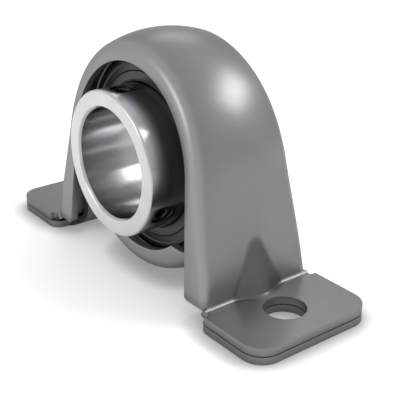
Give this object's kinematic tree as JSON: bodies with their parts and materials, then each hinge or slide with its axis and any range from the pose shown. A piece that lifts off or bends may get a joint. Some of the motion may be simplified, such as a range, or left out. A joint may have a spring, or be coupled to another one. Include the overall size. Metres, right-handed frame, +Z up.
{
  "type": "pillow block bearing",
  "caption": "Pressed steel pillow block with two bolt-down feet and a self-aligning ball bearing insert whose long inner ring is fixed to a shaft by set screws.",
  "frame": {"origin": "middle of the line between the two mounting holes, on the mounting surface", "axes": "+X along the feet, +Y along the shaft towards the short end of the inner ring, +Z up from the mounting surface"},
  "size_m": [0.119, 0.04, 0.0667],
  "materials": {
    "zinc_plate": "satin zinc plating",
    "bearing_steel": "ground and polished",
    "black_oxide": "black oxide",
    "seal_steel": "dark phosphated sheet",
    "rubber_black": "smooth moulded",
    "cage_nylon": "moulded"
  },
  "bodies": {
    "housing": {"upper_shell": "zinc_plate", "lower_shell": "zinc_plate"},
    "outer_race": {"outer_ring": "bearing_steel", "seal_plate_front": "seal_steel", "seal_plate_rear": "seal_steel", "seal_lip_front": "rubber_black", "seal_lip_rear": "rubber_black"},
    "inner_race": {"inner_ring": "bearing_steel"},
    "cage": {"ball_cage": "cage_nylon"},
    "rolling_ball_1": {"ball_1": "bearing_steel"},
    "rolling_ball_2": {"ball_2": "bearing_steel"},
    "rolling_ball_3": {"ball_3": "bearing_steel"},
    "rolling_ball_4": {"ball_4": "bearing_steel"},
    "rolling_ball_5": {"ball_5": "bearing_steel"},
    "rolling_ball_6": {"ball_6": "bearing_steel"},
    "rolling_ball_7": {"ball_7": "bearing_steel"},
    "rolling_ball_8": {"ball_8": "bearing_steel"},
    "rolling_ball_9": {"ball_9": "bearing_steel"},
    "top_screw": {"set_screw_top": "black_oxide"},
    "side_screw": {"set_screw_side": "black_oxide"}
  },
  "joints": [
    {"name": "insert_tilt", "type": "hinge", "parent": "housing", "child": "outer_race", "pos_m": [0, 0, 0.03338], "axis": [1, 0, 0], "range_deg": [-2, 2]},
    {"name": "shaft_spin", "type": "hinge", "parent": "outer_race", "child": "inner_race", "pos_m": [0, 0, 0.03338], "axis": [0, 1, 0], "continuous": true},
    {"name": "cage_spin", "type": "hinge", "parent": "outer_race", "child": "cage", "pos_m": [0, 0, 0.03338], "axis": [0, 1, 0], "continuous": true},
    {"name": "ball_1_roll", "type": "hinge", "parent": "cage", "child": "rolling_ball_1", "pos_m": [0, 0, 0.05638], "axis": [0, 1, 0], "continuous": true},
    {"name": "ball_2_roll", "type": "hinge", "parent": "cage", "child": "rolling_ball_2", "pos_m": [-0.01478, 0, 0.051], "axis": [0, 1, 0], "continuous": true},
    {"name": "ball_3_roll", "type": "hinge", "parent": "cage", "child": "rolling_ball_3", "pos_m": [-0.02265, 0, 0.03737], "axis": [0, 1, 0], "continuous": true},
    {"name": "ball_4_roll", "type": "hinge", "parent": "cage", "child": "rolling_ball_4", "pos_m": [-0.01992, 0, 0.02188], "axis": [0, 1, 0], "continuous": true},
    {"name": "ball_5_roll", "type": "hinge", "parent": "cage", "child": "rolling_ball_5", "pos_m": [-0.00787, 0, 0.01177], "axis": [0, 1, 0], "continuous": true},
    {"name": "ball_6_roll", "type": "hinge", "parent": "cage", "child": "rolling_ball_6", "pos_m": [0.00787, 0, 0.01177], "axis": [0, 1, 0], "continuous": true},
    {"name": "ball_7_roll", "type": "hinge", "parent": "cage", "child": "rolling_ball_7", "pos_m": [0.01992, 0, 0.02188], "axis": [0, 1, 0], "continuous": true},
    {"name": "ball_8_roll", "type": "hinge", "parent": "cage", "child": "rolling_ball_8", "pos_m": [0.02265, 0, 0.03737], "axis": [0, 1, 0], "continuous": true},
    {"name": "ball_9_roll", "type": "hinge", "parent": "cage", "child": "rolling_ball_9", "pos_m": [0.01478, 0, 0.051], "axis": [0, 1, 0], "continuous": true},
    {"name": "top_screw_travel", "type": "slide", "parent": "inner_race", "child": "top_screw", "axis": [0, 0, 1], "range_m": [-0.0002, 0.003]},
    {"name": "side_screw_travel", "type": "slide", "parent": "inner_race", "child": "side_screw", "axis": [0.866, 0, -0.5], "range_m": [-0.0002, 0.003]}
  ],
  "couplings": [
    {"joint": "cage_spin", "follows": "shaft_spin", "ratio": 0.39647},
    {"joint": "ball_1_roll", "follows": "shaft_spin", "ratio": -2.3112},
    {"joint": "ball_2_roll", "follows": "shaft_spin", "ratio": -2.3112},
    {"joint": "ball_3_roll", "follows": "shaft_spin", "ratio": -2.3112},
    {"joint": "ball_4_roll", "follows": "shaft_spin", "ratio": -2.3112},
    {"joint": "ball_5_roll", "follows": "shaft_spin", "ratio": -2.3112},
    {"joint": "ball_6_roll", "follows": "shaft_spin", "ratio": -2.3112},
    {"joint": "ball_7_roll", "follows": "shaft_spin", "ratio": -2.3112},
    {"joint": "ball_8_roll", "follows": "shaft_spin", "ratio": -2.3112},
    {"joint": "ball_9_roll", "follows": "shaft_spin", "ratio": -2.3112}
  ]
}
